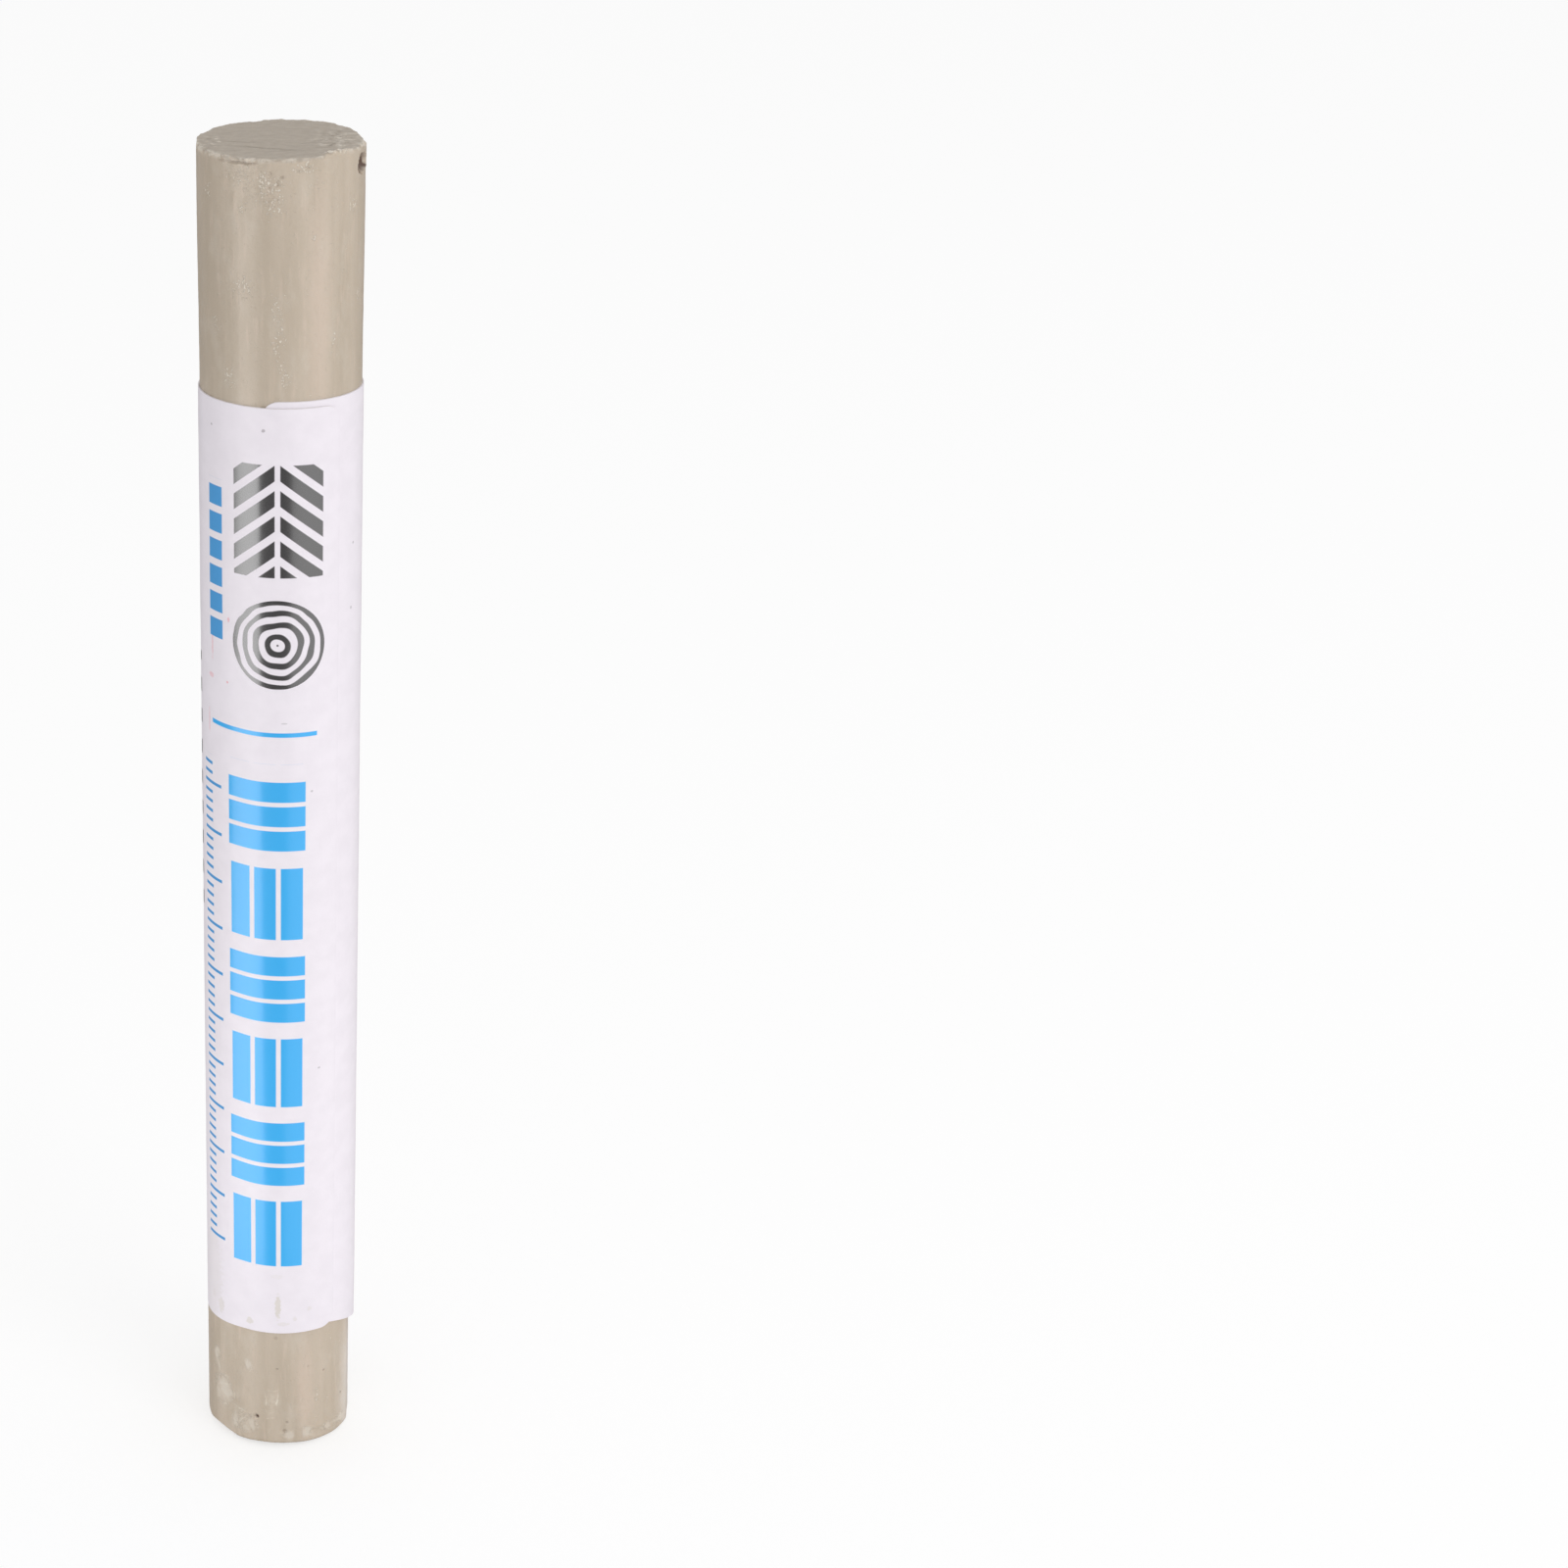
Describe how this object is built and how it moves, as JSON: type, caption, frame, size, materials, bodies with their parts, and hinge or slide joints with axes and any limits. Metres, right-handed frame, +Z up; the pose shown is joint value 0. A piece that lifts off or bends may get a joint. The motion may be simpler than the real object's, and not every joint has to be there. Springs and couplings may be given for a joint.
{
  "type": "furniture repair wax stick",
  "caption": "Round stick of hard filler wax, cut off at the top with a crumbled rim, in a lapped paper label; rubbed or melted into scratches and dents in furniture.",
  "frame": {"origin": "centre of the foot, on the surface that the stick stands on", "axes": "+Z up along the stick to its cut end, -Y towards the front of the label, +X to the right"},
  "size_m": [0.0154, 0.0155, 0.135],
  "materials": {
    "wax": "hard cast filler wax, warm grey-beige, satin, with lengthwise casting streaks and scuffed pale ends",
    "adhesive": "thin film of clear label adhesive",
    "label": "coated white paper, semi-gloss, with a plain blue and black printed pattern"
  },
  "bodies": {
    "root": {"wax_stick": "wax", "label_adhesive": "adhesive", "paper_label": "label"}
  },
  "joints": []
}
